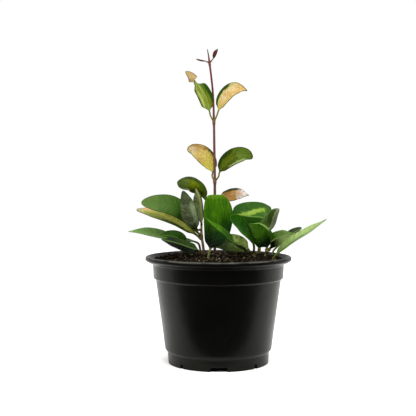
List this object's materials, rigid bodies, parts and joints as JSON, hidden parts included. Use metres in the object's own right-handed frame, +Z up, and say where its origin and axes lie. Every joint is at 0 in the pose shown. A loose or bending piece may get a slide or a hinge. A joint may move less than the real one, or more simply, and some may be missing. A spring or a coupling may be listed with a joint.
{
  "type": "potted hoya australis plant",
  "caption": "Young variegated climbing hoya in a round black nursery pot: an upright vine with paired oval leaves over a low spray of broad fleshy leaves, to stand on a flat surface.",
  "frame": {"origin": "on the floor at the pot's axis, in the middle of the flat underside", "axes": "+Z up along the pot's axis, -Y towards the side that the picture shows, +X to that view's right"},
  "size_m": [0.2188, 0.165, 0.3526],
  "materials": {
    "pot_plastic": "thin black moulded plastic with a soft sheen and faint scuffs",
    "soil": "rough dark potting mix with bark crumbs and a few pale grains of perlite",
    "stem_red": "satin burgundy stem, browner low down",
    "stem_brown": "satin brown stem",
    "stem_olive": "satin olive stem",
    "leaf_bud": "satin red-brown young leaf",
    "leaf_green": "waxy green leaf, paler and duller beneath, lighter along the midrib",
    "leaf_variegated": "waxy leaf with a cream and peach middle and a dark green edge"
  },
  "bodies": {
    "root": {"pot": "pot_plastic", "potting_soil": "soil", "vine_stem_middle": "stem_red", "vine_stem_left": "stem_brown", "vine_stem_right": "stem_olive", "cutting_stem_right": "stem_olive", "leaf_tip_right": "leaf_bud", "leaf_tip_left": "leaf_bud", "leaf_upper_left": "leaf_green", "leaf_upper_right": "leaf_variegated", "leaf_middle_left": "leaf_variegated", "leaf_middle_right": "leaf_green", "leaf_lower_left": "leaf_green", "leaf_lower_right": "leaf_variegated", "leaf_large_left": "leaf_green", "leaf_yellow_left": "leaf_variegated", "leaf_upright_left": "leaf_green", "leaf_upright_middle": "leaf_green", "leaf_variegated_back": "leaf_green", "leaf_upright_right": "leaf_green", "leaf_bowl_right": "leaf_green", "leaf_cupped_right": "leaf_green", "leaf_pale_left": "leaf_green", "leaf_round_left": "leaf_green", "leaf_dark_left": "leaf_green", "leaf_big_centre": "leaf_green", "leaf_narrow_crossing": "leaf_green", "leaf_broad_low": "leaf_green", "leaf_dark_green": "leaf_green", "leaf_small_back": "leaf_green", "leaf_long_right": "leaf_green"}
  },
  "joints": []
}
